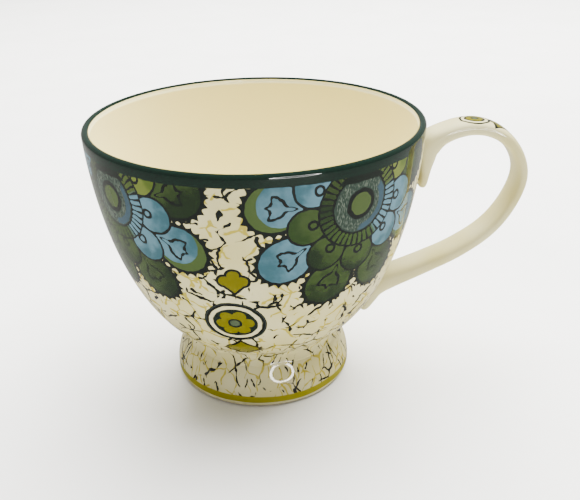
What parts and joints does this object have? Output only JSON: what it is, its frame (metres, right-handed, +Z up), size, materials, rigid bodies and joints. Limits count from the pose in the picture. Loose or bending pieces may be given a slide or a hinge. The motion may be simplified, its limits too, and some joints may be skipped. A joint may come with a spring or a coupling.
{
  "type": "footed mug",
  "caption": "Footed stoneware mug with a rounded bowl on a hollow flared foot and a strap handle with two free tails, for hot drinks.",
  "frame": {"origin": "on the table, at the centre of the foot, on the bowl's axis", "axes": "+Z up along the bowl's axis, +X from the bowl towards the handle"},
  "size_m": [0.1522, 0.1142, 0.0964],
  "materials": {
    "decorated_glaze": "cream glaze over a printed green, blue and olive pattern with black veins",
    "foot_glaze": "cream glaze over black and olive veins, with an olive band at the base and a bare footring",
    "handle_glaze": "cream glaze with a printed medallion and leaf on top",
    "slip": "fired slip under the same cream glaze"
  },
  "bodies": {
    "root": {"bowl": "decorated_glaze", "pedestal_foot": "foot_glaze", "handle": "handle_glaze", "foot_slip_joint": "foot_glaze", "upper_slip_joint": "slip", "lower_slip_joint": "slip"}
  },
  "joints": []
}
